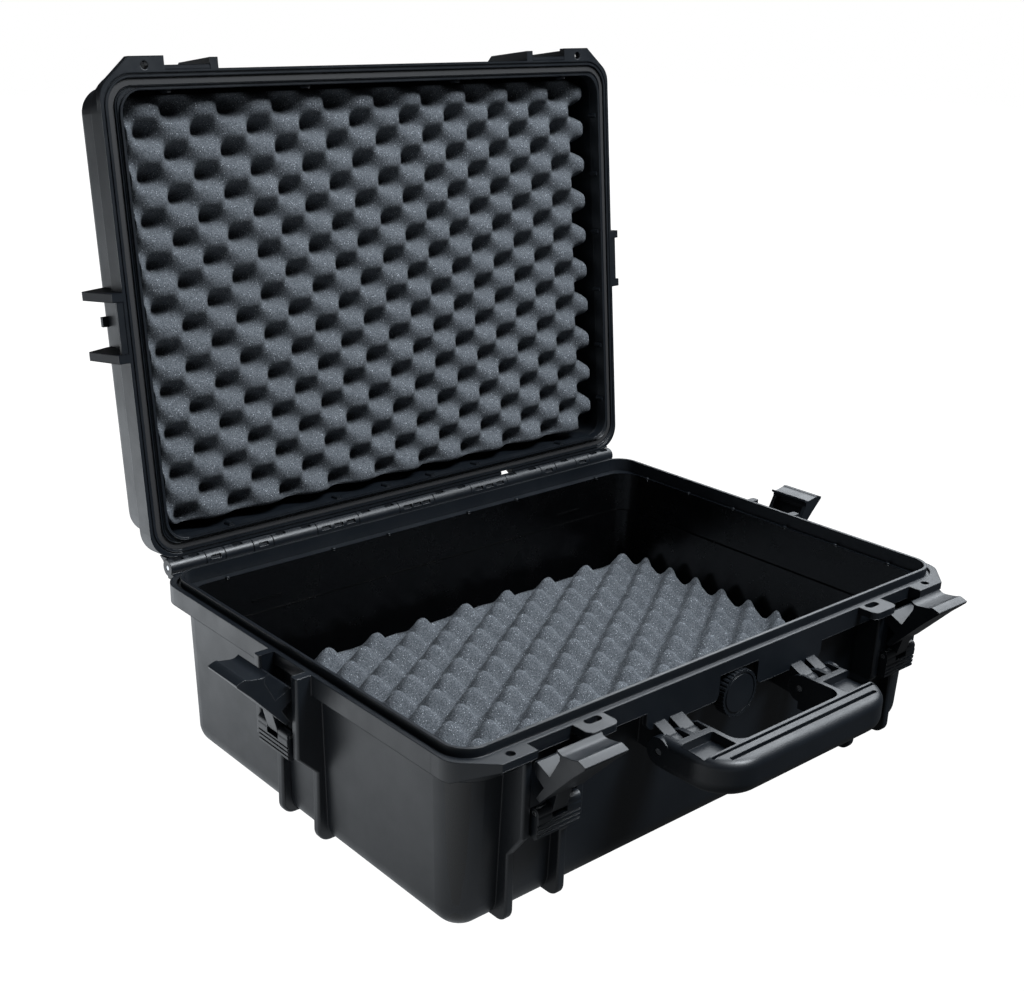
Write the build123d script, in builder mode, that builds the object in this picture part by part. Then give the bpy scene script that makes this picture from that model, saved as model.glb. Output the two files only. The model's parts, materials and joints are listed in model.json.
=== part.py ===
from build123d import *
import math
import os

# Hard equipment case, lid open. Millimetres.
# Frame: +Z up, origin at the middle of the underside of the tub.
# X runs along the handle side, -Y is the handle side and +Y the hinge side.

# ---- driving dimensions -------------------------------------------------
RIM_X, RIM_Y = 262.0, 188.0        # half sizes of the rim flange
RIM_TOP = 141.2
RIM_BOTTOM = 125.5
RIM_CORNER = 22.0
RIM_FRONT_CORNER = 30.0
OPENING_X, OPENING_Y = 252.5, 178.5   # half sizes of the opening inside the tongue
OPENING_CORNER = 17.0
LEDGE_TOP = 134.2                  # shelf inside the rim
LEDGE_UNDER = 131.3
SKIRT = 4.0                        # thickness of the skirt below the rim plate
TUB_X, TUB_Y = 249.4, 170.9        # half sizes of the tub at the bottom
TUB_CORNER = 20.0
TUB_TAPER = 1.9                    # degrees, the tub widens upwards
TUB_BOTTOM_RADIUS = 19.0
WALL = 4.0
STEP_HEIGHT = 96.0                 # the inner wall steps back here
STEP_DEPTH = 1.5
FLOOR_RADIUS = 8.0
INNER_CORNER = 13.0
TONGUE_TOP = 146.2
TONGUE_WIDTH = 2.5
GUTTER_WIDTH = 3.0                 # shallow gutter in the rim outside the tongue
GUTTER_DEPTH = 2.0

HINGE_Y, HINGE_Z = 195.5, 144.75
OPEN_ANGLE = 96.3                  # lid angle at rest, from closed
BARREL = 6.8
ROD = 2.5
ROD_BORE = 2.6
BREAKS = [20.0, 64.5, 109.0, 153.5, 173.0, 200.0, 218.0, 251.0]
KNUCKLE_GAP = 0.5

MATE = 144.75                      # underside of the lid rim, lid closed
LID_TOP = 208.0
LID_RIM_X = 262.5
LID_SKIRT_TOP = 162.5
LID_PLATE = 6.0
LID_X, LID_Y = 254.5, 180.5        # half sizes of the lid wall at the rim
LID_IN_X, LID_IN_Y = 246.5, 173.5
LID_TAPER = 2.2
LID_CORNER = 17.0
LID_TOP_RADIUS = 11.0
INNER_LIP_HEIGHT = 9.0             # above this the inside of the lid is wider
INNER_LIP_REACH = 3.0
LIP_DEPTH = 2.0
GROOVE_X, GROOVE_Y = 256.7, 182.7  # half sizes of the outer edge of the seal groove
GROOVE_CORNER = 21.0
GROOVE_WIDTH = 5.4
GROOVE_DEPTH = 4.0
SEAL_STAND = 1.7                   # the seal lies this deep in its groove

RIB = 7.0                          # thickness of ribs and fins
RIB_ROUND = 1.8                    # rounding of the outer edges of the ribs
RIB_INNER = -36.0                  # the ribs start this far inside the rim face
FIN_INNER = -12.0
CHANNEL = 40.0                     # width between two ribs
FRONT_CHANNEL_X = 187.5
TAB_Y = 198.5
TAB_EDGE = 236.5                   # outer end of the front edge of a padlock tab
TAB_ROOT = 175.7                   # where the slanted edge of a padlock tab starts
TAB_START = 160.0                  # the tab runs along the side of the rim from here
TAB_CORNER = 18.0                  # rounding between the side and the slanted edge
TAB_INNER = 207.0
TAB_PLATE = 5.6
TAB_PLAY = 0.5                     # the lid's tab ends this much behind the base's
HOLE_X, HOLE_Y, HOLE_R = 223.7, 191.3, 3.2
SLOT_X, SLOT_LENGTH, SLOT_WIDTH = 152.0, 14.0, 6.5
SLOT_TAB_IN, SLOT_TAB_OUT = 139.7, 167.7

LATCH_WIDTH = 38.0
LEVER_PIVOT = (1.0, 81.8)          # outward from the rim face, up
CLAW_PIVOT = (8.5, 93.8)
CLAW_OPEN = 25.5                   # degrees that the claw stands open at rest
SIDE_SHIFT = 3.0                   # the side latches stand this much further out
PIN = 2.0
PIN_BORE = 2.08
ARM_WIDTH = 13.0                   # arm of the claw between the lever's knuckles

HANDLE_X = 96.0
HANDLE_PIVOT_Y, HANDLE_PIVOT_Z = -200.0, 101.5
HANDLE_TOP = 113.0
HANDLE_BOTTOM = 85.0
HANDLE_FRONT = -260.5
GRIP_BACK = -237.3
ARM_INNER = 57.0
LUGS = [(59.8, 72.6), (77.6, 88.3)]   # spans of the two lugs in each arm
LUG_RADIUS = 9.0
LUG_TOP, LUG_BOTTOM, LUG_ROOT = 116.0, 96.0, -165.0
LUG_PLAY = 0.5
LUG_ROOM = 22.4                    # opening in the arm that a lug needs
HANDLE_PIN = 2.5
HANDLE_BORE = 2.57
HANDLE_POCKET = 7.0                # depth of the pockets on the arms
POCKET_X, POCKET_Y = 77.0, -227.3  # middle and size of a pocket
POCKET_LENGTH, POCKET_DEEP, POCKET_CORNER = 32.0, 21.5, 1.5
GRIP_CORNER, GRIP_INNER_CORNER = 32.0, 10.0
GRIP_BOTTOM_ROUND, GRIP_TOP_ROUND = 11.0, 6.5
GRIP_GROOVES = [(-241.2, 178.0, 2.6), (-249.4, 160.0, 3.4)]   # y, length, width
GRIP_GROOVE_DEPTH = 6.0

KNOB_Z, KNOB_R = 111.8, 18.5
KNOB_FACE = -190.0
KNOB_BACK = -181.0
SPIGOT_R = 8.0
VALVE_HOLE_R = 5.0
FLANGE_R, FLANGE_THICK = 14.0, 2.5
GASKET_R = 12.5
BOSS_R, BOSS_START = 16.0, 160.0
KNURLS, KNURL_R = 36, 1.1
KNOB_LINE = (16.2, 14.8, 0.6)      # radii and depth of the line round the knob's face
BOSS_FACE = 177.0                  # distances along -Y
GASKET = 1.0
VALVE_INSIDE = 155.0
NUT_HEIGHT = 6.0
NUT_R = 13.0
MEMBRANE_IN, MEMBRANE_THICK = 8.0, 0.8

APRON_MIDDLE, APRON_LENGTH = 58.5, 75.0
APRON_BOTTOM, APRON_HEIGHT = 111.7, 22.0
RIDGE_BOTTOM, RIDGE_TOP = 145.25, 148.1   # ridge on the lid that the claw pulls on
KNUCKLE_POCKET = 9.0               # length of the pockets in the hinge knuckles
KNUCKLE_POCKET_WIDE = 3.0
KNUCKLE_POCKET_IN = 9.0            # middle of a pocket from the end of its knuckle
SHORT_KNUCKLE = 30.0               # a shorter knuckle has a single pocket
POCKET_DEPTH = 3.5                 # half of this is below the surface of the knuckle
BASE_POCKET_ANGLE = 106.0          # where the pockets are round the barrel, from +Y, lid open
LID_POCKET_ANGLE = 158.0
HOOD_GAP = 0.4                     # between a base knuckle and the hood of the lid over it
HOOD_TIP = 122.0                   # angles round the barrel of the closed lid, from +Y
HOOD_ROOT = 176.0
HOOD_WALL = 2.2
HINGE_NOTCH = (107.5, 121.5)       # the hood leaves this stretch open on the right
NOTCH_DEPTH = 2.5
# Lines round the underside of the lid rim: outward from the seal groove, width, depth.
RIM_LINES = [(0.0, GROOVE_WIDTH, GROOVE_DEPTH), (3.2, 1.0, 0.9), (-6.2, 0.8, 0.9)]

FOAM_X, FOAM_FRONT, FOAM_BACK, FOAM_TOP = 231.0, -157.4, 145.0, 62.0
LID_FOAM_X, LID_FOAM_FRONT, LID_FOAM_BACK = 238.0, -170.0, 167.0
LID_FOAM_FACE = 159.0
FOAM_CORNER, LID_FOAM_CORNER = 18.0, 14.0

# Small bosses along the shelf of the tub, studs inside the lid, marks on the long inner walls.
SHELF_BOSSES_X = (-210, -105, -46, 46, 105, 210)
SHELF_BOSSES_Y = (-139, -85, -30, 30, 85, 139)
SHELF_BOSS_R, SHELF_BOSS_HEIGHT = 1.8, 1.2
SHELF_BOSS_AT_X, SHELF_BOSS_AT_Y = 250.0, 171.6
STUDS_FRONT_X = (-205.5, -78.6, 78.6, 205.5)
STUDS_BACK_X = (-187.9, -79.5, -25.3, 25.3, 79.5, 187.9)
STUDS_SIDE_Y = (-137, -83, -28, 28, 83, 137)
STUD_R, SIDE_STUD_R = 2.6, 2.0
MARKS = [(173.5, 171.0, 107.0), (199.0, 170.0, 94.0)]   # x, distance from the middle, height
MARK_SIZE = (29.0, 3.0, 1.4)

os.makedirs("parts", exist_ok=True)


# ---- placing ------------------------------------------------------------
def turned(pivot_y, pivot_z, angle):
    """Turn about an axis along X through (pivot_y, pivot_z)."""
    there = Location((0, pivot_y, pivot_z))
    turn = Location((0, 0, 0), (angle, 0, 0))
    back = Location((0, -pivot_y, -pivot_z))
    return there * turn * back


OPENED = turned(HINGE_Y, HINGE_Z, -OPEN_ANGLE)


def lid_level(height):
    """Horizontal plane of the closed lid at this height, carried to where the lid stands open."""
    return Plane(OPENED * Plane.XY.offset(height).location)


def lid_upright(origin, x_dir, z_dir):
    """Any plane of the closed lid, carried to where the lid stands open."""
    return Plane(OPENED * Plane(origin=origin, x_dir=x_dir, z_dir=z_dir).location)


def front_plane(x):
    """Upright plane at x, local x outward from the front rim face, local y up."""
    return Plane(origin=(x, -RIM_Y, 0), x_dir=(0, -1, 0), z_dir=(-1, 0, 0))


def side_plane(y, side):
    """Upright plane at y, local x outward from the left (-1) or right (1) rim face."""
    return Plane(origin=(side * RIM_X, y, 0), x_dir=(side, 0, 0), z_dir=(0, -side, 0))


def pivoted(plane, pivot, angle):
    """A plane turned in itself about one of its points."""
    there = Location((pivot[0], pivot[1], 0))
    turn = Location((0, 0, 0), (0, 0, angle))
    back = Location((-pivot[0], -pivot[1], 0))
    return Plane(plane.location * there * turn * back)


# Each latch: name, upright plane at the middle of its channel, how far out it stands.
LATCHES = [
    ("front_left", front_plane(-FRONT_CHANNEL_X), 0.0),
    ("front_right", front_plane(FRONT_CHANNEL_X), 0.0),
    ("side_left", side_plane(0, -1), SIDE_SHIFT),
    ("side_right", side_plane(0, 1), SIDE_SHIFT),
]

RIB_STEP = (CHANNEL + RIB) / 2     # from the middle of a channel to the middle of its ribs
SOLE = 3.5                         # the feet of the ribs end this far above the underside

# Side view of a rib, outward from the rim face: foot radius, reach of the lower part,
# reach and height of the upper part, height where the lower part ends.
FRONT_RIB = (9.5, -6.5, 6.7, 76.0, 58.0)
SIDE_RIB = (10.5, -4.0, 12.5, 78.0, 62.0)

# Side view of a fin of the lid, outward from the rim face and up: reach at the rim, shoulder, crown.
FRONT_FIN = [(8.3, MATE), (7.2, 194.0), (2.8, 199.5), (-14.0, 203.0)]
SIDE_FIN = [(9.5, MATE), (14.5, 186.0), (-6.0, 197.0), (-14.0, 199.0)]
RIDGE_IN, RIDGE_OUT = -4.0, 3.2
STOP_IN, STOP_OUT = -24.0, -6.5    # small stop high on the lid between two fins
STOP_HEIGHTS = (192.0, 196.5, 200.0, 201.0)

# Side view of a latch, outward from the rim face and up, latch closed.
KNUCKLE_R, ARM_R = 4.2, 4.0
LEVER_BACK = [(4.6, 95.3), (-2.5, 84.3)]
LEVER_FRONT = [(9.5, 74.3), (12.2, 76.3), (12.9, 90.8), (11.5, 95.3)]
GRIP_LINES = (78.8, 82.3, 85.8)    # heights of the grooves across the lever
GRIP_LINE_DEPTH, GRIP_LINE_HEIGHT = 1.6, 1.1
ARM_ROOM = (16.0, 13.6)
SCOOP = [(1.5, 150.8), (5.5, 150.6), (10.4, 153.2), (16.1, 157.4), (24.5, 159.8)]
CLAW_FRONT = [(24.5, 159.8), (24.7, 157.8), (19.5, 143.3), (13.3, 122.3), (8.2, 105.3), (4.4, 105.0)]
CLAW_HOOK = [(5.9, 117.5), (-2.5, 119.0), (-8.0, 123.5), (-8.6, 127.1), (-7.0, 128.4), (6.0, 128.4)]
CLAW_BACK = [(6.6, 145.8), (5.2, 148.7), (1.5, 149.0), (1.5, 150.8)]
CLAW_HOLLOW = [(1.0, 130.0), (11.6, 130.0), (15.6, 143.8), (14.8, 147.8), (9.5, 146.6), (1.0, 146.6)]
CHEEK = 3.5
ARM_TOP = [(9.5, 109.8), (4.6, 109.8)]


def knuckles(on_lid):
    """Spans along X of the lid's or the base's hinge knuckles."""
    spans = [(-BREAKS[0], BREAKS[0])] if on_lid else []
    for i in range(len(BREAKS) - 1):
        belongs_to_lid = i % 2 == 1
        if belongs_to_lid == on_lid:
            spans.append((BREAKS[i], BREAKS[i + 1]))
            spans.append((-BREAKS[i + 1], -BREAKS[i]))
    return spans


def barrel_point(x, angle):
    """Place on the surface of the hinge barrel at this angle from +Y, local z outward."""
    turn = math.radians(angle)
    place = (x, HINGE_Y + BARREL * math.cos(turn), HINGE_Z + BARREL * math.sin(turn))
    return Location(place, (angle - 90, 0, 0))


def round_barrel(radius, angle):
    """(y, z) at this radius and angle from +Y round the hinge axis."""
    turn = math.radians(angle)
    return HINGE_Y + radius * math.cos(turn), HINGE_Z + radius * math.sin(turn)


def shifted(points, shift):
    """Points of a side view moved outward."""
    return [(x + shift, y) for x, y in points]


def rounded_rib(plane, on_front):
    """A rib with a rounded foot and rounded outer edges, in the middle of this plane."""
    foot_radius, low_reach, top_reach, top_start, low_end = FRONT_RIB if on_front else SIDE_RIB
    rib_top = LEDGE_UNDER if on_front else RIM_TOP
    with BuildPart() as rib:
        with BuildSketch() as rib_side:
            with BuildLine():
                Line((RIB_INNER, SOLE), (low_reach - foot_radius, SOLE))
                TangentArc(
                    (low_reach - foot_radius, SOLE),
                    (low_reach, SOLE + foot_radius),
                    tangent=(1, 0),
                )
                Polyline(
                    (low_reach, SOLE + foot_radius),
                    (low_reach, low_end),
                    (top_reach, top_start),
                    (top_reach, rib_top),
                    (RIB_INNER, rib_top),
                    (RIB_INNER, SOLE),
                )
            make_face()
        extrude(amount=RIB / 2, both=True)
        flat_faces = faces().filter_by(Axis.Z)
        outline = flat_faces.edges()
        in_sight = outline.filter_by(lambda edge: edge.center().X > low_reach - foot_radius)
        outer = in_sight.filter_by(lambda edge: edge.center().Y < rib_top - 1)
        fillet(outer, radius=RIB_ROUND)
    return rib.part.moved(plane.location)


# Every rib, beside the latches.
RIBS = []
for name, plane, shift in LATCHES:
    for step in (-RIB_STEP, RIB_STEP):
        RIBS.append(rounded_rib(plane.offset(step), name.startswith("front")))


# Hollow of the tub below the step in its walls.
with BuildPart() as lower_hollow:
    lower_wall = WALL + STEP_DEPTH
    with BuildSketch(Plane.XY.offset(WALL)) as lower_section:
        RectangleRounded(2 * (TUB_X - lower_wall), 2 * (TUB_Y - lower_wall), INNER_CORNER)
    extrude(amount=STEP_HEIGHT - WALL, taper=-TUB_TAPER)
    fillet(faces().sort_by(Axis.Z)[0].edges(), radius=FLOOR_RADIUS)
lower_inside = lower_hollow.part


# ---- base shell ---------------------------------------------------------
with BuildPart() as base_shell:
    # padlock tabs, their underside rising outwards
    with BuildSketch(Plane.XY.offset(RIM_BOTTOM)) as tabs:
        with BuildLine():
            Polyline(
                (RIM_X - SKIRT, -TAB_START),
                (RIM_X, -TAB_START),
                (RIM_X, -TAB_ROOT),
                (TAB_EDGE, -TAB_Y),
                (TAB_INNER, -TAB_Y),
                (TAB_INNER, -RIM_Y + SKIRT),
                (TAB_EDGE, -RIM_Y + SKIRT),
                (RIM_X - SKIRT, -TAB_ROOT),
                close=True,
            )
        make_face()
        fillet(tabs.vertices().filter_by_position(Axis.Y, -TAB_ROOT - 1, -TAB_ROOT + 1).sort_by(Axis.X)[-1],
               radius=TAB_CORNER)
        mirror(about=Plane.YZ)
    extrude(amount=RIM_TOP - RIM_BOTTOM)
    with BuildSketch(Plane.YZ.offset(-RIM_X)) as under_tabs:
        with BuildLine():
            Polyline(
                (-TAB_ROOT, RIM_BOTTOM),
                (-TAB_Y - 1, RIM_TOP - TAB_PLATE),
                (-TAB_Y - 1, RIM_BOTTOM - 1),
                (-TAB_ROOT, RIM_BOTTOM - 1),
                close=True,
            )
        make_face()
    extrude(amount=2 * RIM_X, mode=Mode.SUBTRACT)
    # tub
    with BuildSketch() as floor:
        RectangleRounded(2 * TUB_X, 2 * TUB_Y, TUB_CORNER)
    extrude(amount=LEDGE_UNDER + 1, taper=-TUB_TAPER)
    fillet(faces().sort_by(Axis.Z)[0].edges(), radius=TUB_BOTTOM_RADIUS)
    # rim plate
    with BuildSketch(Plane.XY.offset(LEDGE_UNDER)) as rim_outline:
        Rectangle(2 * RIM_X, 2 * RIM_Y)
        fillet(rim_outline.vertices().group_by(Axis.Y)[0], radius=RIM_FRONT_CORNER)
        fillet(rim_outline.vertices().group_by(Axis.Y)[-1], radius=RIM_CORNER)
        with BuildLine():
            Polyline(
                (RIM_X - SKIRT, -150),
                (RIM_X - SKIRT, -TAB_ROOT),
                (RIM_X - 12, -RIM_Y + 8),
                (TAB_INNER, -RIM_Y),
                (TAB_INNER, -150),
                close=True,
            )
        make_face()
        mirror(about=Plane.YZ)
    extrude(amount=RIM_TOP - LEDGE_UNDER)
    # tabs with the strap slots, square towards the latch, rounded on the other side
    slot_tab_middle = (SLOT_TAB_IN + SLOT_TAB_OUT) / 2
    with BuildSketch(Plane.XY.offset(RIM_TOP - TAB_PLATE)) as slot_tabs:
        with Locations((slot_tab_middle, -(RIM_Y + TAB_Y) / 2)):
            RectangleRounded(SLOT_TAB_OUT - SLOT_TAB_IN, TAB_Y - RIM_Y + 12, 6)
        with Locations(((slot_tab_middle + SLOT_TAB_OUT) / 2, -(RIM_Y + TAB_Y) / 2 + 3)):
            Rectangle((SLOT_TAB_OUT - SLOT_TAB_IN) / 2, TAB_Y - RIM_Y + 6)
        mirror(about=Plane.YZ)
    extrude(amount=TAB_PLATE)
    # skirt below the plate, open at the latches and round the valve
    with BuildSketch(Plane.XY.offset(RIM_BOTTOM)) as skirt:
        Rectangle(2 * RIM_X, 2 * RIM_Y)
        fillet(skirt.vertices().group_by(Axis.Y)[0], radius=RIM_FRONT_CORNER)
        fillet(skirt.vertices().group_by(Axis.Y)[-1], radius=RIM_CORNER)
        offset(amount=-SKIRT, mode=Mode.SUBTRACT)
        with Locations((0, -RIM_Y), (-FRONT_CHANNEL_X, -RIM_Y), (FRONT_CHANNEL_X, -RIM_Y)):
            Rectangle(CHANNEL + 2, 20, mode=Mode.SUBTRACT)
        with Locations((-RIM_X, 0), (RIM_X, 0)):
            Rectangle(20, CHANNEL + 2, mode=Mode.SUBTRACT)
    extrude(amount=LEDGE_UNDER - RIM_BOTTOM)
    # apron on both sides of the valve
    for side in (-1, 1):
        with BuildSketch(Plane.XZ.offset(RIM_Y - SKIRT)) as apron:
            with Locations((side * APRON_MIDDLE, APRON_BOTTOM + APRON_HEIGHT / 2)):
                RectangleRounded(APRON_LENGTH, APRON_HEIGHT, 6)
        extrude(amount=SKIRT)
    # ribs beside the latches
    add(RIBS)
    # lugs that carry the handle
    for low, high in LUGS:
        for side in (-1, 1):
            x = side * (low + high) / 2
            with BuildSketch(Plane.YZ.offset(x)) as lug:
                with Locations((HANDLE_PIVOT_Y, HANDLE_PIVOT_Z)):
                    Circle(LUG_RADIUS)
                with BuildLine():
                    Polyline(
                        (HANDLE_PIVOT_Y, HANDLE_PIVOT_Z - LUG_RADIUS),
                        (HANDLE_PIVOT_Y, HANDLE_PIVOT_Z + LUG_RADIUS),
                        (-RIM_Y + 0.5, LUG_TOP),
                        (LUG_ROOT, LUG_TOP),
                        (LUG_ROOT, LUG_BOTTOM),
                        close=True,
                    )
                make_face()
            extrude(amount=(high - low) / 2, both=True)
    # boss for the pressure valve
    with BuildSketch(Plane.XZ.offset(BOSS_START)) as boss:
        with Locations((0, KNOB_Z)):
            Circle(BOSS_R)
    extrude(amount=BOSS_FACE - BOSS_START)
    # inside: lower tub, wider upper tub, opening inside the rim
    add(lower_inside, mode=Mode.SUBTRACT)
    widened = STEP_HEIGHT * math.tan(math.radians(TUB_TAPER)) - WALL
    with BuildSketch(Plane.XY.offset(STEP_HEIGHT)) as upper_inside:
        RectangleRounded(2 * (TUB_X + widened), 2 * (TUB_Y + widened), TUB_CORNER + widened)
    extrude(amount=LEDGE_TOP - STEP_HEIGHT, taper=-TUB_TAPER, mode=Mode.SUBTRACT)
    with BuildSketch(Plane.XY.offset(LEDGE_TOP)) as opening:
        RectangleRounded(2 * OPENING_X, 2 * OPENING_Y, OPENING_CORNER)
    extrude(amount=RIM_TOP - LEDGE_TOP, mode=Mode.SUBTRACT)
    # tongue that presses into the lid seal, and the gutter outside it
    with BuildSketch(Plane.XY.offset(RIM_TOP)) as tongue:
        RectangleRounded(
            2 * (OPENING_X + TONGUE_WIDTH), 2 * (OPENING_Y + TONGUE_WIDTH), OPENING_CORNER + TONGUE_WIDTH
        )
        RectangleRounded(2 * OPENING_X, 2 * OPENING_Y, OPENING_CORNER, mode=Mode.SUBTRACT)
    extrude(amount=TONGUE_TOP - RIM_TOP)
    gutter_out = TONGUE_WIDTH + GUTTER_WIDTH
    with BuildSketch(Plane.XY.offset(RIM_TOP - GUTTER_DEPTH)) as gutter:
        RectangleRounded(
            2 * (OPENING_X + gutter_out), 2 * (OPENING_Y + gutter_out), OPENING_CORNER + gutter_out
        )
        RectangleRounded(
            2 * (OPENING_X + TONGUE_WIDTH), 2 * (OPENING_Y + TONGUE_WIDTH), OPENING_CORNER + TONGUE_WIDTH,
            mode=Mode.SUBTRACT,
        )
    extrude(amount=GUTTER_DEPTH, mode=Mode.SUBTRACT)
    # small bosses along the shelf and raised marks on the long inner walls
    with BuildSketch(Plane.XY.offset(LEDGE_TOP - 1)) as shelf_bosses:
        for x in SHELF_BOSSES_X:
            with Locations((x, -SHELF_BOSS_AT_Y), (x, SHELF_BOSS_AT_Y)):
                Circle(SHELF_BOSS_R)
        for y in SHELF_BOSSES_Y:
            with Locations((-SHELF_BOSS_AT_X, y), (SHELF_BOSS_AT_X, y)):
                Circle(SHELF_BOSS_R)
    extrude(amount=SHELF_BOSS_HEIGHT + 1)
    for wall_side in (-1, 1):
        for x_side in (-1, 1):
            for mark_x, mark_y, mark_z in MARKS:
                with Locations((x_side * mark_x, wall_side * mark_y, mark_z)):
                    Box(*MARK_SIZE)
    # hinge knuckles
    for low, high in knuckles(on_lid=False):
        length = high - low - KNUCKLE_GAP
        with BuildSketch(Plane.YZ.offset((low + high) / 2)) as knuckle:
            with Locations((HINGE_Y, HINGE_Z)):
                Circle(BARREL)
            with Locations(((RIM_Y - 2 + HINGE_Y) / 2, RIM_TOP - 2.5)):
                Rectangle(HINGE_Y - RIM_Y + 2, 5)
        extrude(amount=length / 2, both=True)
        for end in (0,) if length < SHORT_KNUCKLE else (-1, 1):
            middle = (low + high) / 2 + end * (length / 2 - KNUCKLE_POCKET_IN)
            with Locations(barrel_point(middle, BASE_POCKET_ANGLE)):
                Box(KNUCKLE_POCKET, KNUCKLE_POCKET_WIDE, POCKET_DEPTH, mode=Mode.SUBTRACT)
    with BuildSketch(Plane.YZ.offset(-RIM_X)) as hinge_bore:
        with Locations((HINGE_Y, HINGE_Z)):
            Circle(ROD)
    extrude(amount=2 * RIM_X, mode=Mode.SUBTRACT)
    # padlock holes and strap slots through the tabs
    with BuildSketch(Plane.XY.offset(RIM_BOTTOM - 1)) as tab_holes:
        with Locations((-HOLE_X, -HOLE_Y), (HOLE_X, -HOLE_Y)):
            Circle(HOLE_R)
        with Locations((-SLOT_X, -HOLE_Y), (SLOT_X, -HOLE_Y)):
            SlotOverall(SLOT_LENGTH, SLOT_WIDTH)
    extrude(amount=RIM_TOP - RIM_BOTTOM + 2, mode=Mode.SUBTRACT)
    # bore of the valve, bores of the handle pins and of the latch pins
    with BuildSketch(Plane.XZ.offset(150)) as valve_bore:
        with Locations((0, KNOB_Z)):
            Circle(SPIGOT_R + 0.1)
    extrude(amount=40, mode=Mode.SUBTRACT)
    for side in (-1, 1):
        with BuildSketch(Plane.YZ.offset(side * (LUGS[0][0] + LUGS[1][1]) / 2)) as lug_bore:
            with Locations((HANDLE_PIVOT_Y, HANDLE_PIVOT_Z)):
                Circle(HANDLE_PIN)
        extrude(amount=20, both=True, mode=Mode.SUBTRACT)
    for name, plane, shift in LATCHES:
        with BuildSketch(plane) as latch_bore:
            with Locations((LEVER_PIVOT[0] + shift, LEVER_PIVOT[1])):
                Circle(PIN)
        extrude(amount=CHANNEL / 2 + RIB - 1, both=True, mode=Mode.SUBTRACT)
base_shell.part.label = "base_shell"
export_step(base_shell.part, "parts/base_shell.step")


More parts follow.
